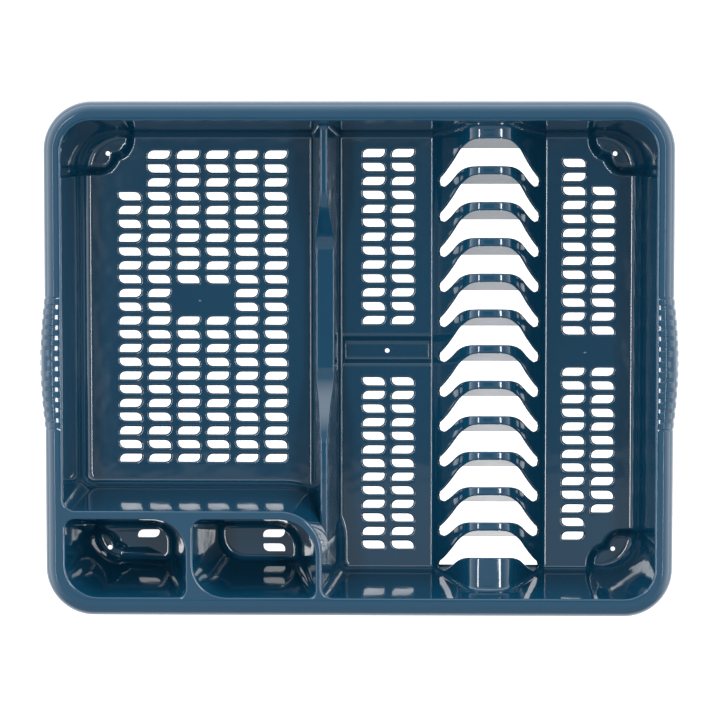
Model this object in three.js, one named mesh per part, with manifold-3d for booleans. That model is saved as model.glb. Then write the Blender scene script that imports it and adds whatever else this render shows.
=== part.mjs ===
// Dish drying rack: one injection-moulded polypropylene tray, seen here as its functional regions.
// Each region is a closed shell of its own. Neighbours stand a fine joint line apart.
// Millimetres, +X right, +Y to the back, +Z up, origin on the table under the middle of the tray.
import * as THREE from 'three';
import { mergeVertices } from 'three/addons/utils/BufferGeometryUtils.js';
import Module from 'manifold-3d';

const wasm = await Module();
wasm.setup();

// ---- Driving dimensions ----
const JOINT = 0.3;              // joint line between two regions
const SHELL = 2.2;              // wall thickness of the moulding
const FAR = 300;                // reaches past the whole tray
const ABOVE = 110;              // a height clear of the rim
const CORNER_STEPS = 5;         // facets in a quarter turn

const RIM_TOP = 95;
const WALL_TOP = RIM_TOP - SHELL - JOINT;
const SKIRT_BOTTOM = 78;
const FLOOR_TOP = 10;
const FLOOR_UNDER = FLOOR_TOP - SHELL;

const RIM_INNER = { x: 223, y: 179.7, r: 22.7 };
const TOE = { x: 216, y: 169.7, r: 26 };             // where the walls reach the floor, sharp
const FILLET = { x: 8, y: 4.2, rise: 12, steps: 4 }; // concave run from wall to floor
const FLOOR_EDGE = { x: TOE.x - FILLET.x - 0.7, y: TOE.y - FILLET.y - 0.15 };

// Rim section from the skirt's lower edge up to the flat top: height, and run outwards from the inner edge
const RIM_SECTION = [[78, 14.6], [85, 14.4], [90.5, 12.6], [93.8, 9.6], [95, 6.2]];
const RIM_WIDER = 15.3 / 14.6;                        // the rim is this much wider at the front and back
const RIM_CORNER_GROWTH = 15 / 14.6;
const SKIRT_INSIDE = { x: 12.4, y: 13, r: 12.6 };     // clear width under the rim, beyond its inner edge

const GRIP = { back: 48, front: -53, bulge: 3, bands: 13, bandHeight: 0.8, bandHalf: 1.6, bandSlope: 1 };

const POST = { x: 175, y: 136.5 };                    // where a corner post starts along each wall
const POST_LOBES = [{ x: 192.5, y: 165, r: 17.5 }, { x: 203.5, y: 153.5, r: 17 }];
const POST_RECESS = 1.8;                              // the walls step back this far inside a post
const FOOT_TAPER = 3.8;                               // the foot is this much narrower at the table
const DRAIN_HOLE = { x: 196.6, y: 154, r: 1.75 };

const SLOT = { length: 16.8, width: 6, cut: 2.6 };    // drain slot with two opposite corners taken off
const LEFT_SLOTS = { x: -179.2, y: 153.2, pitchX: 22.67, pitchY: 10.72, columns: 6, rows: 23 };
const LEFT_MISSING = { 0: [0, 1, 2], 2: [10, 11], 3: [10, 11] };    // rows left out, by column
const MIDDLE_SLOTS = { columns: [10, 32.6], rows: 13, back: [154.5, 10.78], front: [-22.5, 10.65] };
const RIGHT_SLOTS = { inner: 164.9, outer: 187.6, rows: 13, back: [146.9, 10.8], front: [-14.8, 10.67] };
const RIGHT_OUTER_MISSING = 2;                        // rows left out next to each corner post

const RIDGE = { x: -26.9, half: 13.05, footHalf: 10.6, draft: 0.135, top: 67, low: 34 };
const RIDGE_SLOPES = { back: [126, 81], front: [-9, -66] };         // where the crest falls and rises
const RIDGE_ENDS = { back: 190, front: -150 };
const RACK = { x: 99.2, half: 44.6, pitch: 27.02, slots: 12 };
const TROUGH = { back: 15.6, front: -13.6, bottom: 4 };    // a shallow trough across the middle floor
const TROUGH_SIDES = { back: [12.8, 8.2], front: [-9.4, -5.4] };    // y at the floor, and at its bottom
const TROUGH_HOLE = { x: 20.4, y: 1.1, r: 1.75 };

const BLOCK = { toe: { x: -15.7, y: -103, r: 43 }, rim: { x: -27.5, y: -113.9, r: 32 } };
const SEPARATOR = { left: -130.5, right: -125 };

const PLASTIC = { color: 0x1c3f5c, roughness: 0.22, metalness: 0 };

// ---- Solids ----
function solidOf(geometry) {
  geometry.deleteAttribute('normal');
  geometry.deleteAttribute('uv');
  const merged = mergeVertices(geometry, 1e-4);
  return new wasm.Manifold(new wasm.Mesh({
    numProp: 3,
    vertProperties: Float32Array.from(merged.attributes.position.array),
    triVerts: Uint32Array.from(merged.index.array),
  }));
}

function geometryOf(solid) {
  const mesh = solid.getMesh();
  const geometry = new THREE.BufferGeometry();
  geometry.setAttribute('position', new THREE.BufferAttribute(Float32Array.from(mesh.vertProperties), 3));
  geometry.setIndex(new THREE.BufferAttribute(Uint32Array.from(mesh.triVerts), 1));
  geometry.computeVertexNormals();
  return geometry;
}

function union(solids) {
  return solids.reduce((whole, solid) => whole.add(solid));
}

function box(x0, x1, y0, y1, z0, z1) {
  const geometry = new THREE.BoxGeometry(x1 - x0, y1 - y0, z1 - z0);
  return solidOf(geometry.translate((x0 + x1) / 2, (y0 + y1) / 2, (z0 + z1) / 2));
}

function cone(x, y, z0, z1, bottomRadius, topRadius, sides = 24) {
  const geometry = new THREE.CylinderGeometry(topRadius, bottomRadius, z1 - z0, sides);
  return solidOf(geometry.rotateX(Math.PI / 2).translate(x, y, (z0 + z1) / 2));
}

function extrude(points, depth) {
  const shape = new THREE.Shape(points.map(([x, y]) => new THREE.Vector2(x, y)));
  return new THREE.ExtrudeGeometry(shape, { depth, bevelEnabled: false });
}

function prismX(pointsYZ, x0, x1) {
  const turn = new THREE.Matrix4().makeBasis(
    new THREE.Vector3(0, 1, 0), new THREE.Vector3(0, 0, 1), new THREE.Vector3(1, 0, 0));
  return solidOf(extrude(pointsYZ, x1 - x0).applyMatrix4(turn).translate(x0, 0, 0));
}

function prismY(pointsXZ, y0, y1) {
  return solidOf(extrude(pointsXZ, y1 - y0).rotateX(Math.PI / 2).translate(0, y1, 0));
}

function prismZ(pointsXY, z0, z1) {
  return solidOf(extrude(pointsXY, z1 - z0).translate(0, 0, z0));
}

// A block with rounded corners that changes size with height. Each level has z, x0, x1, y0, y1,
// and r, its corner radii in the order front left, front right, back right, back left.
function unitOutline() {
  const corners = [[1, 1], [-1, 1], [-1, -1], [1, -1]];
  return corners.flatMap(([sideX, sideY], corner) => {
    const angles = [...Array(CORNER_STEPS + 1).keys()].map((i) => (corner + i / CORNER_STEPS) * Math.PI / 2);
    return angles.map((angle) => [sideX + Math.cos(angle), sideY + Math.sin(angle)]);
  });
}

function roundedBlock(levels) {
  const shape = new THREE.Shape(unitOutline().map(([x, y]) => new THREE.Vector2(x, y)));
  const steps = levels.length - 1;
  const geometry = new THREE.ExtrudeGeometry(shape, { depth: steps, steps, bevelEnabled: false });
  const position = geometry.attributes.position;
  for (let i = 0; i < position.count; i += 1) {
    const [x, y] = [position.getX(i), position.getY(i)];
    const level = levels[Math.round(position.getZ(i))];
    const back = y > 0;
    const right = x > 0;
    const r = level.r[back ? (right ? 2 : 3) : (right ? 1 : 0)];
    const cornerX = right ? level.x1 - r : level.x0 + r;
    const cornerY = back ? level.y1 - r : level.y0 + r;
    position.setXYZ(i, cornerX + r * (x - Math.sign(x)), cornerY + r * (y - Math.sign(y)), level.z);
  }
  return solidOf(geometry);
}

function centredLevel(z, x, y, r) {
  return { z, x0: -x, x1: x, y0: -y, y1: y, r: [r, r, r, r] };
}

// ---- The tray's main void, and the same shape grown by an offset ----
function wallLevel(z, grow, inset = { x: 0, y: 0 }) {
  const up = (z - FLOOR_TOP) / (RIM_TOP - FLOOR_TOP);
  const x = TOE.x + (RIM_INNER.x - TOE.x) * up - inset.x + grow;
  const y = TOE.y + (RIM_INNER.y - TOE.y) * up - inset.y + grow;
  return centredLevel(z, x, y, TOE.r + (RIM_INNER.r - TOE.r) * up - inset.x + grow);
}

function filletLevels(grow, drop) {
  return [...Array(FILLET.steps + 1).keys()].map((i) => {
    const turn = (i / FILLET.steps) * Math.PI / 2;
    const away = 1 - Math.sin(turn);
    const rise = FILLET.rise * (1 - Math.cos(turn));
    const level = wallLevel(FLOOR_TOP + rise, grow, { x: FILLET.x * away, y: FILLET.y * away });
    return { ...level, z: level.z - drop };
  });
}

function trayVoid(grow) {
  return roundedBlock([...filletLevels(grow, grow), wallLevel(RIM_TOP + 5, grow)]);
}

// Everything that stands inside the walls fits in here, floor plates included.
function insideColumn() {
  const low = centredLevel(-1, FLOOR_EDGE.x - JOINT, FLOOR_EDGE.y - JOINT, TOE.r - FILLET.x);
  const floor = { ...low, z: FLOOR_TOP };
  const fillet = filletLevels(-JOINT, -JOINT);
  return roundedBlock([low, floor, ...fillet, wallLevel(WALL_TOP, -JOINT)]);
}

function postRegion(sideX, sideY, grow, z0, z1) {
  const [lobeA, lobeB] = POST_LOBES;
  const pieces = POST_LOBES.map((lobe) => (
    cone(sideX * lobe.x, sideY * lobe.y, z0, z1, lobe.r + grow, lobe.r + grow)));
  const corners = [[POST.x, lobeA.y], [lobeA.x, lobeB.y], [lobeB.x, POST.y]];
  corners.forEach(([x, y]) => {
    const [nearX, nearY] = [x - grow, y - grow];
    const xs = [sideX * nearX, sideX * FAR].sort((a, b) => a - b);
    const ys = [sideY * nearY, sideY * FAR].sort((a, b) => a - b);
    pieces.push(box(xs[0], xs[1], ys[0], ys[1], z0, z1));
  });
  return union(pieces);
}

// The hollow foot under a corner post: inset is 0 for the outside and SHELL for the inside.
function footBlock(sideX, sideY, inset) {
  const z0 = inset;
  const z1 = FLOOR_TOP + 2;
  const lobes = POST_LOBES.map((lobe) => {
    const top = lobe.r - inset;
    return cone(sideX * lobe.x, sideY * lobe.y, z0, z1, top - FOOT_TAPER, top);
  });
  const [lobeA, lobeB] = POST_LOBES;
  const middle = postRegion(sideX, sideY, -inset - FOOT_TAPER, z0, z1);
  const limit = roundedBlock([
    centredLevel(z0, TOE.x - FILLET.x - 4 - inset, TOE.y - 4 - inset, TOE.r),
    centredLevel(z1, TOE.x - FILLET.x + 3 - inset, TOE.y + 1 - inset, TOE.r)]);
  const quarter = box(...[sideX * lobeA.x, sideX * FAR].sort((a, b) => a - b),
    ...[sideY * lobeB.y, sideY * FAR].sort((a, b) => a - b), z0, z1);
  return union([...lobes, middle, quarter]).intersect(limit);
}

function drainHole({ x, y, r }, sideX = 1, sideY = 1) {
  return cone(sideX * x, sideY * y, -1, RIM_TOP, r, r, 10);
}

function cutleryBlock(grow) {
  const slope = (key) => (BLOCK.rim[key] - BLOCK.toe[key]) / (RIM_TOP - FLOOR_TOP);
  const level = (z) => {
    const at = (key) => BLOCK.toe[key] + slope(key) * (z - FLOOR_TOP) + grow;
    return { z, x0: -FAR, x1: at('x'), y0: -FAR, y1: at('y'), r: [1, 1, at('r'), 1] };
  };
  return roundedBlock([level(-2), level(RIM_TOP + 2)]);
}

// ---- Walls and corner posts ----
const outerShell = trayVoid(SHELL).subtract(trayVoid(0));
const nearBlock = cutleryBlock(JOINT);

function sideWall(side) {
  const [x0, x1] = [side * FLOOR_EDGE.x, side * FAR].sort((a, b) => a - b);
  const slab = box(x0, x1, -POST.y + JOINT, POST.y - JOINT, FLOOR_UNDER, WALL_TOP);
  return outerShell.intersect(slab).subtract(nearBlock);
}

function endWall(side) {
  const [y0, y1] = [side * FLOOR_EDGE.y, side * FAR].sort((a, b) => a - b);
  const slab = box(-POST.x + JOINT, POST.x - JOINT, y0, y1, FLOOR_UNDER, WALL_TOP);
  return outerShell.intersect(slab).subtract(nearBlock);
}

function cornerPost(sideX, sideY) {
  const inner = postRegion(sideX, sideY, -SHELL, FLOOR_TOP, RIM_TOP + 5).intersect(trayVoid(POST_RECESS));
  const outer = postRegion(sideX, sideY, 0, -1, WALL_TOP);
  const hollow = union([trayVoid(0), inner, footBlock(sideX, sideY, SHELL)]);
  const whole = trayVoid(SHELL + POST_RECESS).intersect(box(-FAR, FAR, -FAR, FAR, FLOOR_UNDER, WALL_TOP));
  const post = whole.add(footBlock(sideX, sideY, 0)).intersect(outer).subtract(hollow);
  return post.subtract(drainHole(DRAIN_HOLE, sideX, sideY));
}

// ---- Rim and grips ----
function rimBlock(offset) {
  const levels = RIM_SECTION.map(([z, run]) => {
    const reach = run - offset;
    const r = RIM_INNER.r + reach * RIM_CORNER_GROWTH;
    return centredLevel(z - offset, RIM_INNER.x + reach, RIM_INNER.y + reach * RIM_WIDER, r);
  });
  return roundedBlock(levels);
}

function rimHalf(side) {
  const opening = roundedBlock([0, ABOVE].map((z) => (
    centredLevel(z, RIM_INNER.x, RIM_INNER.y, RIM_INNER.r))));
  const [x, y, r] = ['x', 'y', 'r'].map((key) => RIM_INNER[key] + SKIRT_INSIDE[key]);
  const under = roundedBlock([0, SKIRT_BOTTOM + 1].map((z) => centredLevel(z, x, y, r)));
  const ring = rimBlock(0).subtract(rimBlock(SHELL)).subtract(opening).subtract(under);
  const [near, far] = side > 0 ? [GRIP.back + JOINT / 2, FAR] : [-FAR, GRIP.front - JOINT / 2];
  return ring.intersect(box(-FAR, FAR, near, far, 0, FAR));
}

function rimOutline() {
  const outside = RIM_SECTION.map(([z, run]) => [RIM_INNER.x + run, z]);
  const inside = RIM_SECTION.map(([z, run]) => (
    [RIM_INNER.x + run - SHELL, Math.max(z - SHELL, SKIRT_BOTTOM)]));
  return [...outside, [RIM_INNER.x, RIM_TOP], [RIM_INNER.x, RIM_TOP - SHELL], ...inside.reverse()];
}

// Distances along a grip where its surface bends: four to each raised band.
function gripStations() {
  const pitch = (GRIP.back - GRIP.front) / GRIP.bands;
  const start = GRIP.front + JOINT / 2;
  const end = GRIP.back - JOINT / 2;
  const stations = [{ y: start, raise: 0 }];
  for (let band = 0; band < GRIP.bands; band += 1) {
    const middle = GRIP.front + pitch * (band + 0.5);
    const [near, far] = [GRIP.bandHalf, GRIP.bandHalf + GRIP.bandSlope];
    stations.push({ y: middle - far, raise: 0 }, { y: middle - near, raise: GRIP.bandHeight });
    stations.push({ y: middle + near, raise: GRIP.bandHeight }, { y: middle + far, raise: 0 });
  }
  return [...stations, { y: end, raise: 0 }];
}

// A rim length that swells outwards in a shallow arc and carries raised bands for the fingers.
function grip(side) {
  const stations = gripStations().reverse();
  const steps = stations.length - 1;
  const shape = new THREE.Shape(rimOutline().map(([x, z]) => new THREE.Vector2(x, z)));
  const geometry = new THREE.ExtrudeGeometry(shape, { depth: steps, steps, bevelEnabled: false });
  const position = geometry.attributes.position;
  const middle = (GRIP.back + GRIP.front) / 2;
  const half = (GRIP.back - GRIP.front) / 2;
  for (let i = 0; i < position.count; i += 1) {
    const { y, raise } = stations[Math.round(position.getZ(i))];
    const [x, z] = [position.getX(i), position.getY(i)];
    const outward = Math.min(Math.max((x - RIM_INNER.x) / RIM_SECTION[0][1], 0), 1);
    const swell = GRIP.bulge * (1 - ((y - middle) / half) ** 2) * outward;
    const onTop = RIM_SECTION.some(([height, run]) => (
      Math.abs(z - height) < 0.01 && Math.abs(x - RIM_INNER.x - run) < 0.01));
    position.setXYZ(i, x + swell + (onTop ? raise * outward : 0), z, -y);
  }
  const solid = solidOf(geometry.rotateX(Math.PI / 2));
  return side > 0 ? solid : solidOf(geometryOf(solid).rotateZ(Math.PI)
    .translate(0, GRIP.back + GRIP.front, 0));
}

// ---- Drain floors ----
function slotOutline(x, y, mirrored) {
  const [halfX, halfY] = [SLOT.length / 2, SLOT.width / 2];
  const sign = mirrored ? -1 : 1;
  const points = [
    [-halfX + SLOT.cut, halfY], [halfX, halfY], [halfX, -halfY + SLOT.cut],
    [halfX - SLOT.cut, -halfY], [-halfX, -halfY], [-halfX, halfY - SLOT.cut]];
  return points.map(([u, v]) => [x + sign * u, y + v]);
}

function slotCut(x, y, mirrored) {
  return prismZ(slotOutline(x, y, mirrored), 0, FLOOR_TOP + 2);
}

function slotColumn(x, firstY, pitch, rows, firstMirrored) {
  return rows.map((row) => slotCut(x, firstY - pitch * row, (row % 2 === 1) !== firstMirrored));
}

function rowRange(from, to) {
  return [...Array(to - from + 1).keys()].map((i) => i + from);
}

function floorPlate(x0, x1, y0, y1, slots) {
  const plate = box(x0, x1, y0, y1, FLOOR_UNDER, FLOOR_TOP).subtract(nearBlock);
  const posts = [[-1, 1], [1, 1], [1, -1]].map(([sideX, sideY]) => postRegion(sideX, sideY, JOINT, 0, 20));
  return plate.subtract(union([...posts, ...slots]));
}

function leftFloor() {
  const slots = rowRange(0, LEFT_SLOTS.columns - 1).flatMap((column) => {
    const missing = LEFT_MISSING[column] ?? [];
    const rows = rowRange(0, LEFT_SLOTS.rows - 1).filter((row) => !missing.includes(row));
    const x = LEFT_SLOTS.x + LEFT_SLOTS.pitchX * column;
    return slotColumn(x, LEFT_SLOTS.y, LEFT_SLOTS.pitchY, rows, false);
  });
  const x1 = RIDGE.x - RIDGE.half - JOINT / 2;
  return floorPlate(-FLOOR_EDGE.x + JOINT, x1, BLOCK.toe.y - 1, FLOOR_EDGE.y - JOINT, slots);
}

function middleFloor(back) {
  const [firstY, pitch] = back ? MIDDLE_SLOTS.back : MIDDLE_SLOTS.front;
  const rows = rowRange(0, MIDDLE_SLOTS.rows - 1);
  const slots = MIDDLE_SLOTS.columns.flatMap((x) => slotColumn(x, firstY, pitch, rows, !back));
  const [x0, x1] = [RIDGE.x + RIDGE.half + JOINT / 2, RACK.x - RACK.half - JOINT / 2];
  const edge = FLOOR_EDGE.y - JOINT;
  const [y0, y1] = back ? [TROUGH.back + JOINT / 2, edge] : [-edge, TROUGH.front - JOINT / 2];
  return floorPlate(x0, x1, y0, y1, slots);
}

function rightFloor() {
  const { inner, outer, back, front } = RIGHT_SLOTS;
  const last = RIGHT_SLOTS.rows - 1;
  const slots = [
    ...slotColumn(inner, ...back, rowRange(0, last), true),
    ...slotColumn(inner, ...front, rowRange(0, last), false),
    ...slotColumn(outer, ...back, rowRange(RIGHT_OUTER_MISSING, last), true),
    ...slotColumn(outer, ...front, rowRange(0, last - RIGHT_OUTER_MISSING), false)];
  const x0 = RACK.x + RACK.half + JOINT / 2;
  const edge = FLOOR_EDGE.y - JOINT;
  return floorPlate(x0, FLOOR_EDGE.x - JOINT, -edge, edge, slots);
}

// A trough under the level of the floors. Its end walls reach a little way under the ridge and the rack.
function crossTrough() {
  const [x0, x1] = [RIDGE.x + RIDGE.half + JOINT / 2, RACK.x - RACK.half - JOINT / 2];
  const [y0, y1] = [TROUGH.front + JOINT / 2, TROUGH.back - JOINT / 2];
  const [topBack, bottomBack] = TROUGH_SIDES.back;
  const [topFront, bottomFront] = TROUGH_SIDES.front;
  const under = TROUGH.bottom - SHELL;
  const shelf = FLOOR_UNDER - JOINT;
  const keel = [
    [topBack + 1, shelf], [topFront - 1, shelf], [bottomFront - SHELL, under], [bottomBack + SHELL, under]];
  const rim = [[y0, FLOOR_TOP], [y0, shelf], [y1, shelf], [y1, FLOOR_TOP]];
  const water = [
    [topBack, FLOOR_TOP], [bottomBack, TROUGH.bottom], [bottomFront, TROUGH.bottom], [topFront, FLOOR_TOP]];
  const opening = prismX([...water, [topFront, RIM_TOP], [topBack, RIM_TOP]], x0, x1);
  const whole = prismX(keel, x0 - SHELL, x1 + SHELL).add(prismX(rim, x0, x1));
  return whole.subtract(opening).subtract(drainHole(TROUGH_HOLE));
}

// ---- Divider ridge: tall at both ends and low in the middle ----
function ridgeSection(inset) {
  const halfAt = (z) => RIDGE.footHalf - RIDGE.draft * (z - FLOOR_TOP) - inset;
  const top = RIM_TOP;
  const edge = RIDGE.half - JOINT / 2;
  const flange = inset ? [[halfAt(FLOOR_TOP), FLOOR_UNDER - 1]] : [
    [edge, FLOOR_UNDER], [edge, FLOOR_TOP], [halfAt(0), FLOOR_TOP + 1.2]];
  const right = [...flange, [halfAt(FLOOR_TOP + 4), FLOOR_TOP + 4], [Math.max(halfAt(top), 0.1), top]];
  const left = right.map(([x, z]) => [-x, z]).reverse();
  return [...right, ...left].map(([x, z]) => [RIDGE.x + x, z]);
}

function ridgeCrest(inset) {
  const [high, low, under] = [RIDGE.top - inset, RIDGE.low - inset, inset ? -2 : FLOOR_UNDER];
  const { back, front } = RIDGE_ENDS;
  const [fallBack, lowBack] = RIDGE_SLOPES.back;
  const [lowFront, fallFront] = RIDGE_SLOPES.front;
  return [
    [back, under], [back, high], [fallBack, high], [lowBack, low],
    [lowFront, low], [fallFront, high], [front, high], [front, under]];
}

function dividerRidge() {
  const { back, front } = RIDGE_ENDS;
  const [x0, x1] = [RIDGE.x - 30, RIDGE.x + 30];
  const outside = prismY(ridgeSection(0), front, back).intersect(prismX(ridgeCrest(0), x0, x1));
  const hollow = prismY(ridgeSection(SHELL), front - 10, back + 10);
  const inside = hollow.intersect(prismX(ridgeCrest(SHELL), x0, x1));
  return outside.subtract(inside).intersect(insideColumn()).subtract(nearBlock);
}

// ---- Plate rack: an arched shell with slots across it, and a thin web under each crest ----
const ARCH = [[44.45, 7.8], [44.45, 10], [42, 11.2], [39.5, 15.5], [36, 24], [30.5, 37], [23.9, 54.5],
  [16.5, 68.5], [11.1, 72.5], [0, 73]];
const ARCH_INSIDE = [[39.6, 6.8], [37.4, 14.5], [33.9, 23.2], [28.4, 36.2], [21.9, 53.5], [15, 66.8],
  [10.6, 70.3], [0, 70.8]];
const SLOT_FRONT = [[145.9, 78], [145.6, 72], [141.5, 54.5], [129.1, 27], [129.6, 21.5], [131.5, 18]];
const SLOT_BACK = [[134, 18], [157.2, 54.5], [166.6, 73], [168.8, 78]];
const SPLIT = [[131.4, 5], [131.4, 18], [149.3, 54.5], [156.2, 73], [158, 80]];  // midway through a slot
const WEB = { top: [166.6, 73], bottom: [158.1, 46], thickness: 2 };

function archSection(half) {
  const left = half.slice(0, -1).map(([u, z]) => [-u, z]).reverse();
  return [...half, ...left].map(([u, z]) => [RACK.x + u, z]);
}

const rackLeft = RACK.x - RACK.half;
const rackRight = RACK.x + RACK.half;

function alongRack(pointsYZ, slot, shift = 0) {
  return pointsYZ.map(([y, z]) => [y - RACK.pitch * (slot - 1) + shift, z]);
}

function rackShell() {
  const outside = prismY(archSection(ARCH), -FAR, FAR);
  const shell = outside.subtract(prismY(archSection(ARCH_INSIDE), -FAR - 1, FAR + 1));
  const cuts = rowRange(1, RACK.slots).map((slot) => (
    prismX(alongRack([...SLOT_FRONT, ...SLOT_BACK], slot), rackLeft - 1, rackRight + 1)));
  return shell.subtract(union(cuts)).intersect(insideColumn());
}

function rackWeb(slot) {
  const back = WEB.thickness;
  const side = [
    WEB.top, WEB.bottom, [WEB.bottom[0] + back, WEB.bottom[1]], [WEB.top[0] + back, WEB.top[1]]];
  const web = prismX(alongRack(side, slot), rackLeft, rackRight);
  return web.intersect(prismY(archSection(ARCH), -FAR, FAR));
}

// The rib between one slot and the next, from split line to split line.
function rackPiece(shell, backSlot, frontSlot) {
  const backEdge = backSlot ? alongRack(SPLIT, backSlot, -JOINT / 2) : [[FAR, 5], [FAR, 80]];
  const frontEdge = frontSlot ? alongRack(SPLIT, frontSlot, JOINT / 2) : [[-FAR, 5], [-FAR, 80]];
  const region = prismX([...backEdge, ...frontEdge.reverse()], rackLeft - 1, rackRight + 1);
  const piece = shell.intersect(region);
  return frontSlot ? piece.add(rackWeb(frontSlot)) : piece;
}

// ---- Cutlery block ----
const WELL_FRONT = RIM_INNER.y - 0.7;
const WELL_CURVE = 3;                                 // reach of the curve between a well's side and floor
const WELLS = {
  left: {
    top: { x0: -221.5, x1: SEPARATOR.left, y0: -WELL_FRONT, y1: -120.3, r: [25, 6, 25.5, 7] },
    floor: { x0: -205.5, x1: -147, y0: -162, y1: -133.8, r: [20, 8, 15, 8] },
    slots: [[-165.6, -141.9, false]],
  },
  right: {
    top: { x0: SEPARATOR.right, x1: -32.4, y0: -WELL_FRONT, y1: -120.3, r: [25, 5.5, 27.5, 7.5] },
    floor: { x0: -109, x1: -48.5, y0: -162, y1: -134, r: [20, 6, 20, 6] },
    slots: [[-67.8, -141.5, false], [-67.5, -152.8, true]],
  },
};

function wellLevel({ x0, x1, y0, y1, r }, z, grow) {
  const radii = r.map((corner) => corner + grow);
  return { z, x0: x0 - grow, x1: x1 + grow, y0: y0 - grow, y1: y1 + grow, r: radii };
}

function wellBlock(well, grow, topZ) {
  return roundedBlock([
    wellLevel(well.floor, FLOOR_TOP - grow, grow - WELL_CURVE),
    wellLevel(well.floor, FLOOR_TOP - grow + WELL_CURVE, grow),
    wellLevel(well.top, topZ, grow)]);
}

function cutleryWell(well, hasFoot) {
  let outside = wellBlock(well, SHELL, WALL_TOP);
  let inside = wellBlock(well, 0, WALL_TOP).add(
    roundedBlock([wellLevel(well.top, WALL_TOP - 0.01, 0), wellLevel(well.top, RIM_TOP + 5, 0)]));
  if (hasFoot) {
    outside = outside.add(wellFoot(well, 0));
    inside = inside.add(wellFoot(well, SHELL));
  }
  const cuts = well.slots.map(([x, y, mirrored]) => slotCut(x, y, mirrored));
  const cup = outside.subtract(inside).subtract(union(cuts));
  return hasFoot ? cup.subtract(drainHole(DRAIN_HOLE, -1, -1)) : cup;
}

// The front left foot, sunk through the floor of the left well.
function wellFoot(well, inset) {
  const limit = roundedBlock([
    wellLevel(well.floor, inset, -FOOT_TAPER - inset), wellLevel(well.floor, FLOOR_TOP + 2, -inset)]);
  return footBlock(-1, -1, inset).intersect(limit);
}

function cutleryWall() {
  const curtain = cutleryBlock(0).subtract(cutleryBlock(-SHELL));
  const height = box(-FAR, FAR, -FAR, FAR, FLOOR_UNDER, WALL_TOP);
  const inner = roundedBlock([FLOOR_UNDER - 1, RIM_TOP].map((z) => wallLevel(z, -JOINT)));
  return curtain.intersect(height).intersect(inner);
}

// The plate between the wells. Along the rim the wells are open to it, so only its bars are left.
function cutleryRim() {
  const plate = cutleryBlock(0).intersect(box(-FAR, FAR, -FAR, FAR, RIM_TOP - SHELL, RIM_TOP));
  const inner = roundedBlock([0, ABOVE].map((z) => (
    centredLevel(z, RIM_INNER.x - JOINT, RIM_INNER.y - JOINT, RIM_INNER.r - JOINT))));
  const openings = Object.values(WELLS).map(({ top }) => {
    const sides = { ...top, y0: -FAR, r: [1, 1, top.r[2], top.r[3]] };
    return roundedBlock([0, ABOVE].map((z) => wellLevel(sides, z, 0)));
  });
  const { x0, y1, r } = WELLS.left.top;
  const strip = box(-FAR, x0 + 2, -FAR, y1 - r[3] - 1, 0, ABOVE);
  return plate.intersect(inner).subtract(union([...openings, strip]));
}

// ---- Assembly ----
const tray = new THREE.Group();

function addRegion(name, solid) {
  const mesh = new THREE.Mesh(geometryOf(solid), new THREE.MeshStandardMaterial(PLASTIC));
  mesh.name = name;
  tray.add(mesh);
}

addRegion('rim_back', rimHalf(1));
addRegion('rim_front', rimHalf(-1));
addRegion('left_grip', grip(-1));
addRegion('right_grip', grip(1));
addRegion('back_wall', endWall(1));
addRegion('front_wall', endWall(-1));
addRegion('left_wall', sideWall(-1));
addRegion('right_wall', sideWall(1));
addRegion('back_left_post', cornerPost(-1, 1));
addRegion('back_right_post', cornerPost(1, 1));
addRegion('front_right_post', cornerPost(1, -1));
addRegion('left_floor', leftFloor());
addRegion('middle_floor_back', middleFloor(true));
addRegion('middle_floor_front', middleFloor(false));
addRegion('right_floor', rightFloor());
addRegion('cross_trough', crossTrough());
addRegion('divider_ridge', dividerRidge());

const shell = rackShell();
addRegion('rack_back_end', rackPiece(shell, null, 1));
for (let rib = 1; rib < RACK.slots; rib += 1) {
  addRegion(`plate_rib_${rib}`, rackPiece(shell, rib, rib + 1));
}
addRegion('rack_front_end', rackPiece(shell, RACK.slots, null));

addRegion('cutlery_well_left', cutleryWell(WELLS.left, true));
addRegion('cutlery_well_right', cutleryWell(WELLS.right, false));
addRegion('cutlery_rim', cutleryRim());
addRegion('cutlery_wall', cutleryWall());

export default tray;
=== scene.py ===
# Dish drying rack: a deep drainer tray, moulded in one shot from glossy navy polypropylene.
# Sizes are in millimetres until a piece is finished, when its mesh is scaled to metres.
from math import cos, pi, radians, sin, sqrt, tan

import bmesh
import bpy
from mathutils import Matrix, Vector


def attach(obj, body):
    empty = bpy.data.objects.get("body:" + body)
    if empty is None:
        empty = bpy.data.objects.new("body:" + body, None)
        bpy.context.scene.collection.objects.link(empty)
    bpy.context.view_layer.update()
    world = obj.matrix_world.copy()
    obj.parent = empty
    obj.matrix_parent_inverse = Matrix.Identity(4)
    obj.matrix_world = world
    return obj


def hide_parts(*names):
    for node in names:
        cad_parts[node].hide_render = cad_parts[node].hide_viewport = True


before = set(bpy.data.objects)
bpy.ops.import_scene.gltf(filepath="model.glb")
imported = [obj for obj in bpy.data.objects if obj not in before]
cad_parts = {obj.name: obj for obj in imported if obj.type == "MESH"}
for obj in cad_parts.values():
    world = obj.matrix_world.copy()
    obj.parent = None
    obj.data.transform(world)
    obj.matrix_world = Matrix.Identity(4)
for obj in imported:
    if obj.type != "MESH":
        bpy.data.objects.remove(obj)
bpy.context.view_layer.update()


# ---- Table, room and camera ----
# The tray stands on a white light table in a white tent. Two long soft boxes hang left and
# right of the camera, and a dark card beside the lens keeps the flat surfaces from glaring.
CAMERA_PLACE = (0.0537, 0.1882, 2.508)
CAMERA_AIM = (0.0012, 0.00075, 0.095)
FOCAL_LENGTH = 161.4
SOFT_BOX = {"width": 0.22, "length": 1.5, "energy": 27}
SOFT_BOX_PLACE = (0.05, 0.1, 2.3)              # midway between the two
SOFT_BOX_APART = 0.85                          # from there to each of them
TABLE = (-6, 6, -6, 6, -0.0004)                # x and y from and to, then height
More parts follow.
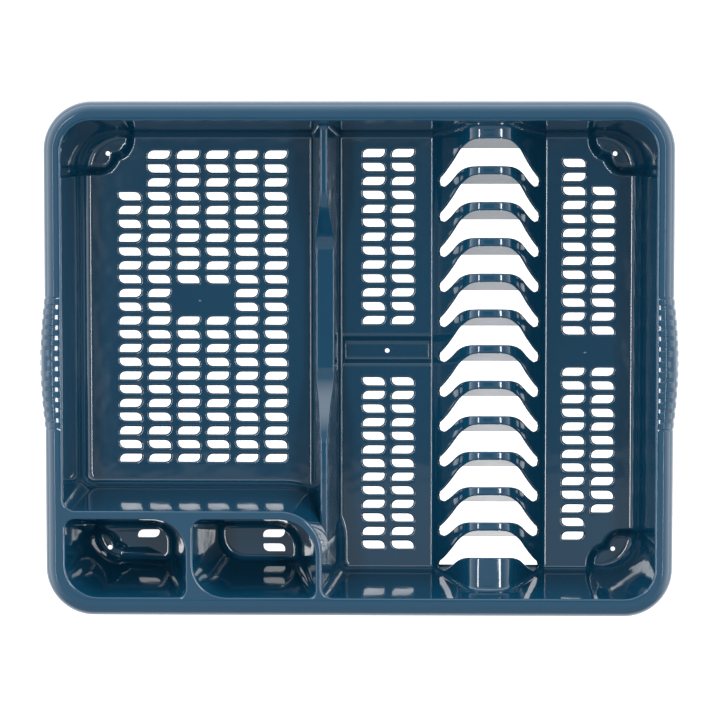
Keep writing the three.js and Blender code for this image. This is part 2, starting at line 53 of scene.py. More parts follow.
CARD = (-0.47, 0.385, -0.38, 0.15, 2.6)


def look_at(eye, target, up):
    forward = (Vector(target) - Vector(eye)).normalized()
    right = forward.cross(Vector(up)).normalized()
    turn = Matrix((right, right.cross(forward), -forward)).transposed()
    return Matrix.Translation(eye) @ turn.to_4x4()


lens = bpy.data.cameras.new("camera")
lens.sensor_width = 36
lens.lens = FOCAL_LENGTH
camera = bpy.data.objects.new("camera", lens)
camera.matrix_world = look_at(CAMERA_PLACE, CAMERA_AIM, (0, 1, 0))
bpy.context.scene.collection.objects.link(camera)
bpy.context.scene.camera = camera
bpy.context.scene.view_settings.view_transform = "Standard"

for side in (-1, 1):
    soft_box = bpy.data.lights.new("soft_box", "AREA")
    soft_box.shape = "RECTANGLE"
    soft_box.size = SOFT_BOX["width"]
    soft_box.size_y = SOFT_BOX["length"]
    soft_box.energy = SOFT_BOX["energy"]
    lamp = bpy.data.objects.new("soft_box", soft_box)
    middle, back, height = SOFT_BOX_PLACE
    lamp.matrix_world = look_at((side * SOFT_BOX_APART + middle, back, height), (0, 0, 0), (0, 1, 0))
    bpy.context.scene.collection.objects.link(lamp)


def flat_sheet(name, x0, x1, y0, y1, z):
    mesh = bpy.data.meshes.new(name)
    bm = bmesh.new()
    bmesh.ops.create_grid(bm, x_segments=1, y_segments=1, size=0.5)
    bmesh.ops.scale(bm, vec=(x1 - x0, y1 - y0, 1), verts=bm.verts)
    bmesh.ops.translate(bm, vec=((x0 + x1) / 2, (y0 + y1) / 2, z), verts=bm.verts)
    bm.to_mesh(mesh)
    bm.free()
    sheet = bpy.data.objects.new(name, mesh)
    bpy.context.scene.collection.objects.link(sheet)
    return sheet


table = flat_sheet("table", *TABLE)
card = flat_sheet("card", *CARD)


# ---- Navy polypropylene ----
# The whole tray is one batch of glossy plastic. The mould's polish shows as faint waves,
# the melt's flow as slow changes of shade, and handling as slight changes of gloss.
class Value:
    """A shader socket that can be used in sums and products."""

    def __init__(self, shader, socket):
        self.shader = shader
        self.socket = socket

    def combine(self, operation, first, second):
        return self.shader.node("ShaderNodeMath", {"operation": operation}, {0: first, 1: second})

    def __add__(self, other):
        return self.combine("ADD", self, other)

    def __sub__(self, other):
        return self.combine("SUBTRACT", self, other)

    def __rsub__(self, other):
        return self.combine("SUBTRACT", other, self)

    def __mul__(self, other):
        return self.combine("MULTIPLY", self, other)

    __radd__ = __add__
    __rmul__ = __mul__


class Shader:
    """A node tree that is built one node at a time."""

    def __init__(self, tree):
        tree.nodes.clear()
        self.tree = tree

    def node(self, kind, settings, sockets, output=0):
        made = self.tree.nodes.new(kind)
        for key, value in settings.items():
            if key == "stops":
                for stop, (place, colour) in zip(made.color_ramp.elements, value):
                    stop.position = place
                    stop.color = colour
            else:
                setattr(made, key, value)
        for key, value in sockets.items():
            if isinstance(value, Value):
                self.tree.links.new(value.socket, made.inputs[key])
            else:
                made.inputs[key].default_value = value
        return Value(self, made.outputs[output]) if made.outputs else None


NAVY = (0.0025, 0.0320, 0.0650, 1)
NAVY_DEEP = (0.0020, 0.0275, 0.0570, 1)


def navy_plastic():
    material = bpy.data.materials.new("navy_polypropylene")
    material.use_nodes = True
    shader = Shader(material.node_tree)
    place = shader.node("ShaderNodeTexCoord", {}, {}, "Object")
    flow = shader.node("ShaderNodeTexNoise", {}, {"Vector": place, "Scale": 9.0, "Detail": 3.0})
    wave = shader.node("ShaderNodeTexNoise", {}, {"Vector": place, "Scale": 30.0, "Detail": 2.0})
    colour = shader.node("ShaderNodeMix", {"data_type": "RGBA"}, {0: flow, 6: NAVY_DEEP, 7: NAVY}, 2)
    bump = shader.node("ShaderNodeBump", {}, {"Height": wave * 0.0003, "Distance": 1.0, "Strength": 1.0})
    surface = shader.node("ShaderNodeBsdfPrincipled", {}, {
        "Base Color": colour, "Roughness": flow * 0.05 + 0.04, "IOR": 1.5, "Normal": bump})
    shader.node("ShaderNodeOutputMaterial", {}, {"Surface": surface})
    return material


def plain_sheet(name, shade, glow):
    """A matt surface that gives off a little light, for the table and the card."""
    material = bpy.data.materials.new(name)
    material.use_nodes = True
    shader = Shader(material.node_tree)
    surface = shader.node("ShaderNodeBsdfPrincipled", {}, {
        "Base Color": (shade, shade, shade, 1), "Roughness": 0.9,
        "Emission Color": (1, 1, 1, 1), "Emission Strength": glow})
    shader.node("ShaderNodeOutputMaterial", {}, {"Surface": surface})
    return material


def white_tent():
    """Bright low down to the back and the sides, softer overhead and in front."""
    world = bpy.data.worlds.new("white_tent")
    world.use_nodes = True
    shader = Shader(world.node_tree)
    way = shader.node("ShaderNodeTexCoord", {}, {}, "Generated")
    to_right, to_back, height = [
        shader.node("ShaderNodeSeparateXYZ", {}, {0: way}, axis) for axis in range(3)]
    low = shader.node("ShaderNodeMapRange", {}, {0: height, 1: 0.72, 2: 0.08})
    behind = shader.node(
        "ShaderNodeMapRange", {"interpolation_type": "SMOOTHSTEP"}, {0: to_back, 1: -0.8, 2: -0.2})
    glow = shader.node("ShaderNodeBackground", {}, {
        "Color": (1, 1, 1, 1), "Strength": low * behind * 4.4 - to_right * 0.15 + 0.85})
    shader.node("ShaderNodeOutputWorld", {}, {"Surface": glow})
    bpy.context.scene.world = world


white_tent()
table.data.materials.append(plain_sheet("light_table", 0.8, 0.9))
card.data.materials.append(plain_sheet("dark_card", 0.05, 0.12))
plastic = navy_plastic()


# ---- Rim ----
# A flat-topped rim with a rolled skirt runs round the tray. It is hollow underneath, open
# downwards, and its two halves run from grip to grip.
MM = 0.001
SHELL = 2.2
RIM_TOP = 95
LIP = 1.5                                  # radius where the rim turns down into the tray
RIM_IN = Vector((223, 179.7))
RIM_R = 22.7
RIM_RUN = 14.6                             # the rim's width from its inner edge to its skirt
RIM_PULL = 15.3 / RIM_RUN                  # it is a little wider at the front and back
GRIP_BACK, GRIP_FRONT = 48, -53


def arc_line(corners, steps, closed=False):
    """Straights joined by arcs. A corner is (x, y, radius), and (x, y) alone stays sharp."""
    points = []
    for index, corner in enumerate(corners):
        here = Vector(corner[:2])
        if len(corner) == 2:
            points.append(here)
            continue
        to_last = (Vector(corners[index - 1][:2]) - here).normalized()
        to_next = (Vector(corners[(index + 1) % len(corners)][:2]) - here).normalized()
        half = to_last.angle(to_next) / 2
        radius = corner[2]
        centre = here + (to_last + to_next).normalized() * radius / sin(half)
        start = here + to_last * radius / tan(half) - centre
        turn = start.angle_signed(here + to_next * radius / tan(half) - centre)
        for step in range(steps + 1):
            points.append(centre + Matrix.Rotation(-turn * step / steps, 2) @ start)
    return points


def at_height(line, z):
    return [Vector((x, y, z)) for x, y in line]


def loft(bm, rings, closed):
    """Extrudes the first ring through the others, and returns the edges of the first and last."""
    verts = [bm.verts.new(point) for point in rings[0]]
    pairs = list(zip(verts, verts[1:])) + ([(verts[-1], verts[0])] if closed else [])
    first = edges = [bm.edges.new(pair) for pair in pairs]
    for ring in rings[1:]:
        grown = bmesh.ops.extrude_edge_only(bm, edges=edges)["geom"]
        fresh = {item.co.copy().freeze(): item for item in grown if isinstance(item, bmesh.types.BMVert)}
        members = set(fresh.values())
        edges = [item for item in grown if isinstance(item, bmesh.types.BMEdge)
                 and all(vert in members for vert in item.verts)]
        verts = [fresh[vert.co.copy().freeze()] for vert in verts]
        for vert, point in zip(verts, ring):
            vert.co = point
    return first, edges


def finish_piece(name, bm, nodes, thickness=0.0):
    """Closes a surface into a wall, scales it to metres and gives it its place in the tray."""
    bmesh.ops.remove_doubles(bm, verts=bm.verts, dist=0.004)
    bmesh.ops.recalc_face_normals(bm, faces=bm.faces)
    if thickness:
        if sum(face.normal.z * face.calc_area() for face in bm.faces) < 0:
            bmesh.ops.reverse_faces(bm, faces=bm.faces)
        bmesh.ops.solidify(bm, geom=bm.faces[:], thickness=thickness)
    bmesh.ops.scale(bm, vec=(MM, MM, MM), verts=bm.verts)
    mesh = bpy.data.meshes.new(name)
    bm.to_mesh(mesh)
    bm.free()
    mesh.shade_smooth()
    mesh.set_sharp_from_angle(angle=radians(40))
    mesh.materials.append(plastic)
    piece = bpy.data.objects.new(name, mesh)
    bpy.context.scene.collection.objects.link(piece)
    shading = piece.modifiers.new("even_shading", "WEIGHTED_NORMAL")
    shading.keep_sharp = True
    shading.weight = 80
    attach(piece, "root")
    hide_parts(*nodes)
    return piece


def lip_curve(steps=4):
    """(how far the lip has drawn back, its height) from the flat top down to the wall."""
    turns = [pi / 2 * step / steps for step in range(steps + 1)]
    return [(LIP * (1 - sin(turn)), RIM_TOP - LIP + LIP * cos(turn)) for turn in turns]


def rim_section():
    """(run outwards from the inner edge, height), once round the rim's wall."""
    lip = [(back, z) for back, z in reversed(lip_curve())]
    slope = [(2.6, 95), (5.8, 95), (6.1, 94.97), (6.4, 94.88), (6.75, 94.73), (7.5, 94.4), (8.6, 93.85),
             (9.8, 93.1), (11, 92.15), (12.1, 90.95), (13, 89.4), (13.7, 87.4), (14.15, 85), (14.4, 82.5),
             (14.55, 80.3), (14.6, 78.6)]
    hem = [(14.3, 78.1), (13.6, 78), (12.9, 78.2), (12.6, 78.8)]
    under = [(12.3, 82.5), (11.6, 86.6), (10.2, 89.8), (8.2, 91.9), (6, 92.7), (1.6, 92.8)]
    return lip + slope + hem + under


def rim_line(run, side):
    x, y = RIM_IN + Vector((run, run * RIM_PULL))
    start = GRIP_BACK if side > 0 else GRIP_FRONT
    return arc_line([(x, start), (x, side * y, RIM_R + run), (-x, side * y, RIM_R + run), (-x, start)], 20)


for name, side in (("rim_back", 1), ("rim_front", -1)):
    rim_bm = bmesh.new()
    section = rim_section()
    loft(rim_bm, [at_height(rim_line(run, side), z) for run, z in section + section[:1]], False)
    bmesh.ops.remove_doubles(rim_bm, verts=rim_bm.verts, dist=0.004)
    open_edges = [edge for edge in rim_bm.edges if edge.is_boundary]
    bmesh.ops.holes_fill(rim_bm, edges=open_edges)
    finish_piece(name, rim_bm, [name])


# ---- Grips ----
# In the middle of each short side the rim swells outwards and is ribbed across for wet fingers.
# A plain lens on the outer slope breaks the ribs, where the mould's insert was.
GRIP_SWELL = 3.7
GRIP_RIBS = 13
GRIP_PITCH = (GRIP_BACK - GRIP_FRONT) / GRIP_RIBS
GRIP_GROOVE = 0.45
GRIP_EDGE = (1.95, 2.35)                       # where a rib starts and ends its step down
LENS = {"y": -2, "half_length": 15.5, "run": 11.2, "half_width": 3.0, "depth": 0.5}


def soft_step(value):
    value = min(max(value, 0.0), 1.0)
    return value * value * (3 - 2 * value)


def grip_ring(y, side):
    middle = (GRIP_BACK + GRIP_FRONT) / 2
    from_rib = abs((y - GRIP_FRONT) % GRIP_PITCH - GRIP_PITCH / 2)
    groove = soft_step((from_rib - GRIP_EDGE[0]) / (GRIP_EDGE[1] - GRIP_EDGE[0]))
    swell = GRIP_SWELL * (1 - ((y - middle) * 2 / (GRIP_BACK - GRIP_FRONT)) ** 2)
    ends = soft_step(min(y - GRIP_FRONT, GRIP_BACK - y) / 1.2)
    ring = []
    for run, z in rim_section():
        outer = run > 1.6 and z > 78.9 and not (run < 12.6 and z < 93)
        on_slope = soft_step((run - 1.7) / 0.9) if outer else 0
        bite = GRIP_GROOVE * groove * on_slope * ends
        off_run = (run - LENS["run"]) / LENS["half_width"]
        off_y = (y - LENS["y"]) / LENS["half_length"]
        in_lens = 1 - off_run ** 2 - off_y ** 2
        if outer and in_lens > 0:
            inside = soft_step(in_lens * 3)
            bite += (LENS["depth"] - bite) * inside
        tilt = min(max((run - 5) / 9, 0), 1) * pi / 2
        x = RIM_IN.x + run + swell * min(run / RIM_RUN, 1) - bite * sin(tilt)
        ring.append(Vector((side * x, y, z - bite * cos(tilt))))
    return ring


def grip_stations():
    near, far = GRIP_EDGE
    middle = (near + far) / 2
    offsets = (-far, -middle, -near, -1, 0, 1, near, middle, far, GRIP_PITCH / 2 - 0.9, GRIP_PITCH / 2)
    ribs = [GRIP_FRONT + GRIP_PITCH * (rib + 0.5) for rib in range(GRIP_RIBS)]
    return [GRIP_FRONT, GRIP_FRONT + 0.9] + [rib + offset for rib in ribs for offset in offsets]


for name, side in (("left_grip", -1), ("right_grip", 1)):
    grip_bm = bmesh.new()
    first, last = loft(grip_bm, [grip_ring(min(y, GRIP_BACK), side) for y in grip_stations()], True)
    bmesh.ops.holes_fill(grip_bm, edges=first + last)
    finish_piece(name, grip_bm, [name])


# ---- Outer walls ----
# Four walls with draft, so that the tray leaves its mould, each running into the floor through
# a wide hollow curve. They stop where the corner posts and the cutlery block begin.
FLOOR = 10
TOE = Vector((216, 169.7))
CURVE_REACH = Vector((8, 4.2))
CURVE_RISE = 12
POST_X, POST_Y = 174.4, 135.9
BLOCK_TOE = Vector((-15.7, -103))
BLOCK_RIM = Vector((-27.5, -113.9))


def tray_levels():
    """(height, how far the floor curve has come in, 0 to 1) from under the lip to the floor."""
    walls = [(z, 0.0) for z in (RIM_TOP - LIP, 80, 66, 52, 38, 28)]
    turns = [pi / 2 * (1 - step / 10) for step in range(11)]
    return walls + [(FLOOR + CURVE_RISE * (1 - cos(turn)), 1 - sin(turn)) for turn in turns]


def wall_place(z, come_in):
    """Half length and half width of the tray's inside at a height."""
    lean = (RIM_IN - TOE) / (RIM_TOP - FLOOR)
    return TOE + lean * (z - FLOOR) - CURVE_REACH * come_in


def block_place(z):
    """Where the cutlery block's right and rear faces are at a height, without their floor curve."""
    return BLOCK_TOE + (BLOCK_RIM - BLOCK_TOE) * (z - FLOOR) / (RIM_TOP - FLOOR)


BLOCK_CURVE = 5                                # reach of the block's own floor curve
SIDE_TURN, FRONT_TURN = 9, 8                   # radii where the block meets the left and front walls


def block_corner(z, come_in):
    """The block's right face, rear face, and the radii of its three turns at a level."""
    face = block_place(z) + Vector((BLOCK_CURVE, BLOCK_CURVE)) * come_in
    round_off = 43 - 11 * (z - FLOOR) / (RIM_TOP - FLOOR) + BLOCK_CURVE * come_in
    return face, SIDE_TURN - 4 * come_in, round_off, FRONT_TURN - 4 * come_in


wall_lines = {"left_wall": [], "right_wall": [], "back_wall": [], "front_wall": []}
for z, come_in in tray_levels():
    x, y = wall_place(z, come_in)
    face, side_turn, _, front_turn = block_corner(z, come_in)
    wall_lines["left_wall"].append([Vector((-x, POST_Y, z)), Vector((-x, face.y + side_turn, z))])
    wall_lines["right_wall"].append([Vector((x, -POST_Y, z)), Vector((x, POST_Y, z))])
    wall_lines["back_wall"].append([Vector((POST_X, y, z)), Vector((-POST_X, y, z))])
    wall_lines["front_wall"].append([Vector((face.x + front_turn, -y, z)), Vector((POST_X, -y, z))])
for name, rings in wall_lines.items():
    wall_bm = bmesh.new()
    loft(wall_bm, rings, False)
    finish_piece(name, wall_bm, [name], SHELL)


# ---- Corner posts and feet ----
# In three corners the walls step back a little and the floor sinks into a hollow two-lobed
# foot, which carries the tray. A drain hole is moulded through each foot.
FOOT_DEPTH = FLOOR - SHELL
POST_STEP_BACK = 1.8
POST_RAMP = 7.5
FOOT_LOBES = [(192.5, 165, 17.5), (203.5, 153.5, 17)]
DRAIN = Vector((196.6, 154))
FLOOR_RINGS = 36


def inside_lobes(x, y):
    return max(radius - sqrt((x - cx) ** 2 + (y - cy) ** 2) for cx, cy, radius in FOOT_LOBES)


def inside_foot(x, y):
    """How far a point lies inside the outline of the post and its foot, 0 to 1 over the ramp."""
    (ax, ay, _), (bx, by, _) = FOOT_LOBES
    boxes = [min(x - 175, y - ay), min(x - ax, y - by), min(x - bx, y - 136.5)]
    return soft_step(max([inside_lobes(x, y)] + boxes) / POST_RAMP)


def spread(start, end, count):
    return [start + (end - start) * step / count for step in range(count + 1)]


def post_ring(z, sink, x, y, r):
    """One ring round the corner, pushed down inside the foot and out inside the post."""
    line = [Vector((across, y)) for across in spread(POST_X, x - r, 22)[:-1]]
    line += [Vector((x - r + r * cos(a), y - r + r * sin(a))) for a in spread(pi / 2, 0, 18)]
    line += [Vector((x, along)) for along in spread(y - r, POST_Y, 22)[1:]]
    ring = []
    for point in line:
        out = Vector((max(point.x - (x - r), 0), max(point.y - (y - r), 0)))
        out = out.normalized() if out.length else Vector((0, 1))
        share = inside_foot(point.x, point.y)
        back = out * POST_STEP_BACK * share * (1 - sink)
        ring.append(Vector((point.x + back.x, point.y + back.y, z - FOOT_DEPTH * share * sink)))
    return ring


def post_rings():
    rings = []
    for z, come_in in tray_levels():
        x, y = wall_place(z, come_in)
        up = (z - FLOOR) / (RIM_TOP - FLOOR)
        sink = (1 - soft_step((z - FLOOR) / CURVE_RISE / 1.4)) if z < FLOOR + CURVE_RISE * 1.4 else 0
        rings.append(post_ring(z, sink, x, y, 27 - 4.3 * up - 3 * come_in))
    x, y = wall_place(FLOOR, 1)
    for step in range(1, FLOOR_RINGS + 1):
        share = step / FLOOR_RINGS
        inner_x, inner_y = x + (POST_X - x) * share, y + (POST_Y - y) * share
        rings.append(post_ring(FLOOR, 1, inner_x, inner_y, 24 * (1 - share)))
    return rings


def drill(piece, cutter_bm):
    """Cuts a closed shape out of a finished piece."""
    bmesh.ops.scale(cutter_bm, vec=(MM, MM, MM), verts=cutter_bm.verts)
    bmesh.ops.recalc_face_normals(cutter_bm, faces=cutter_bm.faces)
    cutter_mesh = bpy.data.meshes.new("cutter")
    cutter_bm.to_mesh(cutter_mesh)
    cutter_bm.free()
    cutter = bpy.data.objects.new("cutter", cutter_mesh)
    bpy.context.scene.collection.objects.link(cutter)
    cut = piece.modifiers.new("cut", "BOOLEAN")
    cut.object = cutter
    cut.solver = "EXACT"
    bpy.context.view_layer.update()
    done = bpy.data.meshes.new_from_object(piece.evaluated_get(bpy.context.evaluated_depsgraph_get()))
    piece.modifiers.remove(cut)
    piece.data = done
    bpy.data.objects.remove(cutter)


def hole_cutter(bm, x, y, radius=1.75):
    made = bmesh.ops.create_cone(bm, segments=28, radius1=radius, radius2=radius, depth=60, cap_ends=True)
    bmesh.ops.translate(bm, vec=(x, y, 0), verts=made["verts"])


posts = {"back_left_post": (-1, 1), "back_right_post": (1, 1), "front_right_post": (1, -1)}
for name, (side_x, side_y) in posts.items():
    post_bm = bmesh.new()
    loft(post_bm, post_rings(), False)
    bmesh.ops.scale(post_bm, vec=(side_x, side_y, 1), verts=post_bm.verts)
    post = finish_piece(name, post_bm, [name], SHELL)
    drain_bm = bmesh.new()
    hole_cutter(drain_bm, side_x * DRAIN.x, side_y * DRAIN.y)
    drill(post, drain_bm)


# ---- Drain floors ----
# Flat plates pierced by slots in rows. Two opposite corners of a slot are rounded, the next
# row mirrors it, and the upper edge of every slot is softened so that water runs in.
SLOT_HALF = Vector((8.4, 3.0))
SLOT_ROUND, SLOT_SHARP = 4.3, 0.8
SLOT_SOFT = [(1.5, 10.0), (1.0, 9.93), (0.5, 9.7), (0.15, 9.3), (0.0, 8.8), (0.0, 7.8)]    # (grown, z)
LEFT_FIRST, LEFT_PITCH = (-179.2, 153.2), (22.67, 10.72)              # across, then along
LEFT_MISSING = {0: (0, 1, 2), 2: (10, 11), 3: (10, 11)}                  # column: rows left blank
MIDDLE_COLUMNS = (10, 32.6)
MIDDLE_BACK, MIDDLE_FRONT = (154.5, 10.78), (-22.5, 10.65)              # first row and pitch
RIGHT_BACK, RIGHT_FRONT = (146.9, 10.8), (-14.8, 10.67)
RIGHT_INNER, RIGHT_OUTER = 164.9, 187.6


def slot_line(grow, mirrored):
    """A slot's outline, grown evenly. Its back left corner is round unless it is mirrored."""
    half = SLOT_HALF + Vector((grow, grow))
    rounds = (SLOT_SHARP, SLOT_ROUND) if mirrored else (SLOT_ROUND, SLOT_SHARP)
    big, small = rounds[0] + grow, rounds[1] + grow
    corners = [
        (-half.x, half.y, big), (half.x, half.y, small), (half.x, -half.y, big), (-half.x, -half.y, small)]
    return arc_line(corners, 4, True)


def slot_ring(x, y, mirrored, grow, z):
    place = Vector((x, y, 0))
    return [point + place for point in at_height(slot_line(grow, mirrored), z)]


def plate_with_slots(outline, slots):
    """A plate between two heights, with the softened slots cut through it."""
    bm = bmesh.new()
    top_edges, bottom_edges = loft(bm, [at_height(outline, FLOOR), at_height(outline, FLOOR - SHELL)], True)
    for x, y, mirrored in slots:
        rings = [slot_ring(x, y, mirrored, grow, z) for grow, z in SLOT_SOFT]
        first, last = loft(bm, rings, True)
        top_edges += first
        bottom_edges += last
    for edges in (top_edges, bottom_edges):
        bmesh.ops.triangle_fill(bm, use_beauty=True, use_dissolve=False, edges=edges)
    return bm


def slot_rows(x, first_y, pitch, rows, first_mirrored):
    return [(x, first_y - pitch * row, (row % 2 == 1) != first_mirrored) for row in rows]


def left_slots():
    first_x, first_y = LEFT_FIRST
    pitch_x, pitch_y = LEFT_PITCH
    slots = []
    for column in range(6):
        rows = [row for row in range(23) if row not in LEFT_MISSING.get(column, ())]
        slots += slot_rows(first_x + pitch_x * column, first_y, pitch_y, rows, False)
    return slots


def right_slots():
    inner = slot_rows(RIGHT_INNER, *RIGHT_BACK, range(13), True)
    inner += slot_rows(RIGHT_INNER, *RIGHT_FRONT, range(13), False)
    outer = slot_rows(RIGHT_OUTER, *RIGHT_BACK, range(2, 13), True)
    return inner + outer + slot_rows(RIGHT_OUTER, *RIGHT_FRONT, range(11), False)


def middle_slots(back):
    first_y, pitch = MIDDLE_BACK if back else MIDDLE_FRONT
    return [slot for x in MIDDLE_COLUMNS for slot in slot_rows(x, first_y, pitch, range(13), not back)]


GATES = {"left_floor": [(-125, 40)], "right_floor": [(174, 0)]}    # where the melt came in
TUCK = 1.3                                     # plates run this far under their neighbours' curves
EDGE = wall_place(FLOOR, 1)
RIDGE_X, RIDGE_HALF = -26.9, 13.05
RACK_X, RACK_HALF = 99.2, 44.6
TROUGH_Y = (-13.6, 15.6)                       # the middle floors end where the trough begins

left_outline = [
    (-EDGE.x - TUCK, POST_Y), (-POST_X, POST_Y), (-POST_X, EDGE.y + TUCK),
    (RIDGE_X - RIDGE_HALF + TUCK, EDGE.y + TUCK), (RIDGE_X - RIDGE_HALF + TUCK, BLOCK_TOE.y - 1.5),
    (-EDGE.x - TUCK, BLOCK_TOE.y - 1.5)]
right_outline = [
    (RACK_X + RACK_HALF - TUCK, EDGE.y + TUCK), (POST_X, EDGE.y + TUCK), (POST_X, POST_Y),
    (EDGE.x + TUCK, POST_Y), (EDGE.x + TUCK, -POST_Y), (POST_X, -POST_Y), (POST_X, -EDGE.y - TUCK),
    (RACK_X + RACK_HALF - TUCK, -EDGE.y - TUCK)]


def middle_outline(y0, y1):
    x0, x1 = RIDGE_X + RIDGE_HALF - TUCK, RACK_X - RACK_HALF + TUCK
    return [(x0, y0), (x1, y0), (x1, y1), (x0, y1)]


floors = {
    "left_floor": (left_outline, left_slots()),
    "right_floor": (right_outline, right_slots()),
    "middle_floor_back": (middle_outline(TROUGH_Y[1], EDGE.y + TUCK), middle_slots(True)),
    "middle_floor_front": (middle_outline(-EDGE.y - TUCK, TROUGH_Y[0]), middle_slots(False))}
for name, (outline, slots) in floors.items():
    floor_bm = plate_with_slots(outline, slots)
    for x, y in GATES.get(name, ()):
        mark = bmesh.ops.create_uvsphere(floor_bm, u_segments=24, v_segments=12, radius=1.4)
        bmesh.ops.scale(floor_bm, vec=(1, 1, 0.35), verts=mark["verts"])
        bmesh.ops.translate(floor_bm, vec=(x, y, FLOOR - 0.1), verts=mark["verts"])
    finish_piece(name, floor_bm, [name])


# ---- Divider ridge ----
# A hollow ridge with steep sides parts the large compartment from the rest. It is tall at both
# ends and dips in the middle, where a pan's handle or a tray can lie across it.
RIDGE_HIGH, RIDGE_LOW = 67, 34
RIDGE_LEAN = 0.135
RIDGE_ROUND = 1.6
RIDGE_FOOT = 10.6                              # half width at the floor
RIDGE_FROM, RIDGE_TO = -146, 157               # y; from there on it flares into the back wall
RIDGE_FLARE = 4


def through(table, at):
    """A smooth curve through (place, value) pairs."""
    at = min(max(at, table[0][0]), table[-1][0])
    index = max(i for i, (place, _) in enumerate(table[:-1]) if place <= at)
    (x0, y0), (x1, y1) = table[index], table[index + 1]
    before, after = table[max(index - 1, 0)], table[min(index + 2, len(table) - 1)]
    slope0 = (y1 - before[1]) / (x1 - before[0])
    slope1 = (after[1] - y0) / (after[0] - x0)
    t = (at - x0) / (x1 - x0)
    cubic = (2 * t ** 3 - 3 * t * t + 1) * y0 + (3 * t * t - 2 * t ** 3) * y1
    return cubic + (t ** 3 - 2 * t * t + t) * (x1 - x0) * slope0 + (t ** 3 - t * t) * (x1 - x0) * slope1


def ridge_top(y):
    rise = soft_step((y - 81) / 45) if y > 36 else soft_step((-9 - y) / 57)
    return RIDGE_LOW + (RIDGE_HIGH - RIDGE_LOW) * rise


def wall_depth(z):
    """The front and back walls' distance from the middle at a height, floor curve included."""
    rise = min(max((z - FLOOR) / CURVE_RISE, 0), 1)
    come_in = 1 - sqrt(1 - (1 - rise) ** 2)
    return wall_place(z, come_in).y


def ridge_section(y):
    """(x, z) from the left floor over the ridge to the right floor."""
    top = ridge_top(y)
    half = RIDGE_FOOT - RIDGE_LEAN * (top - FLOOR)
    foot = RIDGE_FOOT - RIDGE_LEAN * 4
    return arc_line([
        (-RIDGE_HALF, FLOOR), (-foot - 0.55, FLOOR, 2.2), (-half, top, RIDGE_ROUND), (half, top, RIDGE_ROUND),
        (foot + 0.55, FLOOR, 2.2), (RIDGE_HALF, FLOOR)], 5)


def ridge_rings():
    rings = []
    for y in spread(RIDGE_FROM, RIDGE_TO, 150):
        rings.append([Vector((RIDGE_X + x, y, z)) for x, z in ridge_section(y)])
    for depth in (4, 3, 2.1, 1.3, 0.7, 0.3, 0.1, 0):
        flare = RIDGE_FLARE - sqrt(RIDGE_FLARE ** 2 - (RIDGE_FLARE - depth) ** 2)
        ring = []
        for x, z in ridge_section(170):
            lift = flare if z > FLOOR + 3 else flare * (z - FLOOR) / 3
            wide = x + (lift if x > 0 else -lift) * 0.7
            tall = z + (flare if z > RIDGE_HIGH - 2 else 0)
            ring.append(Vector((RIDGE_X + wide, wall_depth(tall) - depth, tall)))
        rings.append(ring)
    return rings


ridge_bm = bmesh.new()
loft(ridge_bm, ridge_rings(), False)
finish_piece("divider_ridge", ridge_bm, ["divider_ridge"], SHELL)


# ---- Plate rack ----
# An arched shell, slotted across so that plates stand between its ribs. Under each crest a thin
# leaning web ties the rib's two legs together. Both ends run into the walls.
SLOT_PITCH = 27.02
RACK_SLOTS = 12
WALL_TURN = 4                                  # radius of the hollow between the arch and a wall
WEB_BOTTOM, WEB_LEAN, WEB_Y = 46, 0.315, 158.1
# The arch is given as (half width, height) from its foot to its crest. The two faces of the first
# slot are given as (height, y), from the slot's tip upwards.
ARCH = [(RACK_HALF, FLOOR), (43.8, 10.2), (42.9, 11.1), (41.8, 13), (39.6, 17.3), (36, 24), (30.5, 37),
        (23.9, 54.5), (17.2, 67.2), (11.4, 71.5), (5.8, 72.75), (0, 73.1)]
EDGE_SOFT = [(0.0, 0.95), (0.25, 0.45), (0.7, 0.13), (1.3, 0.0)]
SLOT_FRONT = [(17.3, 132.9), (17.55, 131.8), (18.4, 130.8), (19.9, 129.9), (22.4, 129.3), (27, 129.5),
              (40, 134.8), (54.5, 141.5), (64, 144.3), (73, 145.7), (80, 146.2)]
SLOT_BACK = [(17.3, 132.9), (17.55, 133.9), (18.4, 134.9), (20.2, 136.1), (27, 140.1),
             (40, 148.2), (54.5, 157.2), (64, 162.2), (73, 166.6), (80, 169.5)]
TIP = SLOT_FRONT[0]


def arch_line():
    """The shell's section, from the floor on the left over the crest to the floor on the right."""
    profile = [(-x, z) for x, z in ARCH] + [(x, z) for x, z in ARCH[-2::-1]]
    places = spread(0, len(profile) - 1, 110)
    across, up = [list(enumerate(values)) for values in zip(*profile)]
    return [Vector((through(across, place), through(up, place))) for place in places]


def slot_edge(table, slot, z):
    y = TIP[1] if z <= TIP[0] else through(table, z)
    return y - SLOT_PITCH * (slot - 1)


def slot_gap(z):
    return 0 if z <= TIP[0] else through(SLOT_BACK, z) - through(SLOT_FRONT, z)


def arch_normals(line):
    around = zip(line[:1] + line[:-1], line[1:] + line[-1:])
    directions = [(after - before).normalized() for before, after in around]
    return [Vector((-way.y, way.x)) for way in directions]


